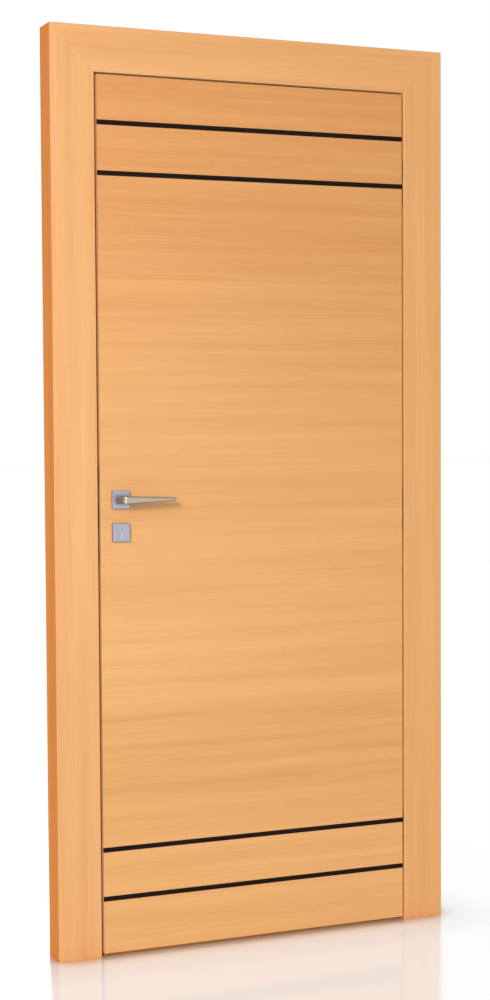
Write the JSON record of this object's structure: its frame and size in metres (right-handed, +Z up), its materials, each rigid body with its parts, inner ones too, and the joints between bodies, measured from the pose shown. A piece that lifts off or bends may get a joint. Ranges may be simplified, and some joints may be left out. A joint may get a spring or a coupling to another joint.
{
  "type": "hinged flush interior door in its frame",
  "caption": "Flush veneered interior door leaf with dark horizontal inlay strips and lever handle, hung on concealed hinges in a mitred block frame.",
  "frame": {"origin": "on the hinge jamb's outer side face, at floor level, in the middle of the frame's depth", "axes": "+X along the wall towards the hinge side, +Y through the wall away from the side the leaf opens to, +Z up"},
  "size_m": [1.0371, 0.136, 2.221],
  "materials": {
    "frame_veneer": "satin lacquered light beech veneer, grain along each member",
    "leaf_veneer": "satin lacquered light beech veneer, grain across the leaf",
    "leaf_lipping": "satin lacquered solid beech lipping",
    "leaf_core": "raw chipboard core, closed in",
    "dark_inlay": "satin dark wenge strip",
    "handle_metal": "satin nickel plated",
    "lock_metal": "nickel plated steel",
    "hinge_metal": "satin chromed zinc casting",
    "seal_rubber": "soft brown extruded seal"
  },
  "bodies": {
    "frame": {"strike_jamb": "frame_veneer", "hinge_jamb": "frame_veneer", "frame_head": "frame_veneer", "strike_stop": "frame_veneer", "hinge_stop": "frame_veneer", "head_stop": "frame_veneer", "strike_seal": "seal_rubber", "hinge_seal": "seal_rubber", "head_seal": "seal_rubber", "strike_plate": "lock_metal", "top_hinge_jamb_housing": "hinge_metal", "middle_hinge_jamb_housing": "hinge_metal", "bottom_hinge_jamb_housing": "hinge_metal"},
    "leaf": {"lock_stile": "leaf_lipping", "hinge_stile": "leaf_lipping", "top_rail": "leaf_lipping", "bottom_rail": "leaf_lipping", "leaf_core": "leaf_core", "front_skin": "leaf_veneer", "back_skin": "leaf_veneer", "front_inlay_top_upper": "dark_inlay", "front_inlay_top_lower": "dark_inlay", "front_inlay_bottom_upper": "dark_inlay", "front_inlay_bottom_lower": "dark_inlay", "back_inlay_top_upper": "dark_inlay", "back_inlay_top_lower": "dark_inlay", "back_inlay_bottom_upper": "dark_inlay", "back_inlay_bottom_lower": "dark_inlay", "mortise_lock": "lock_metal", "latch_bolt": "lock_metal", "dead_bolt": "lock_metal", "lock_cylinder": "lock_metal", "front_handle_rose": "handle_metal", "back_handle_rose": "handle_metal", "front_key_rose": "handle_metal", "back_key_rose": "handle_metal", "top_hinge_leaf_housing": "hinge_metal", "middle_hinge_leaf_housing": "hinge_metal", "bottom_hinge_leaf_housing": "hinge_metal"},
    "levers": {"front_lever": "handle_metal", "back_lever": "handle_metal", "spindle_and_follower": "lock_metal"},
    "hinge_links": {"top_hinge_link": "hinge_metal", "middle_hinge_link": "hinge_metal", "bottom_hinge_link": "hinge_metal"}
  },
  "joints": [
    {"name": "leaf_swing", "type": "hinge", "parent": "frame", "child": "leaf", "pos_m": [-0.1105, -0.0415, 1.058], "axis": [0, 0, 1], "range_deg": [0, 100]},
    {"name": "hinge_link_swing", "type": "hinge", "parent": "frame", "child": "hinge_links", "pos_m": [-0.1105, -0.0415, 1.058], "axis": [0, 0, 1], "range_deg": [0, 50]},
    {"name": "lever_turn", "type": "hinge", "parent": "leaf", "child": "levers", "pos_m": [-0.873, -0.019, 1.103], "axis": [0, 1, 0], "range_deg": [0, 40], "stiffness_Nm_per_rad": 2, "springref_deg": -22.92}
  ],
  "couplings": [
    {"joint": "hinge_link_swing", "follows": "leaf_swing", "ratio": 0.5}
  ]
}
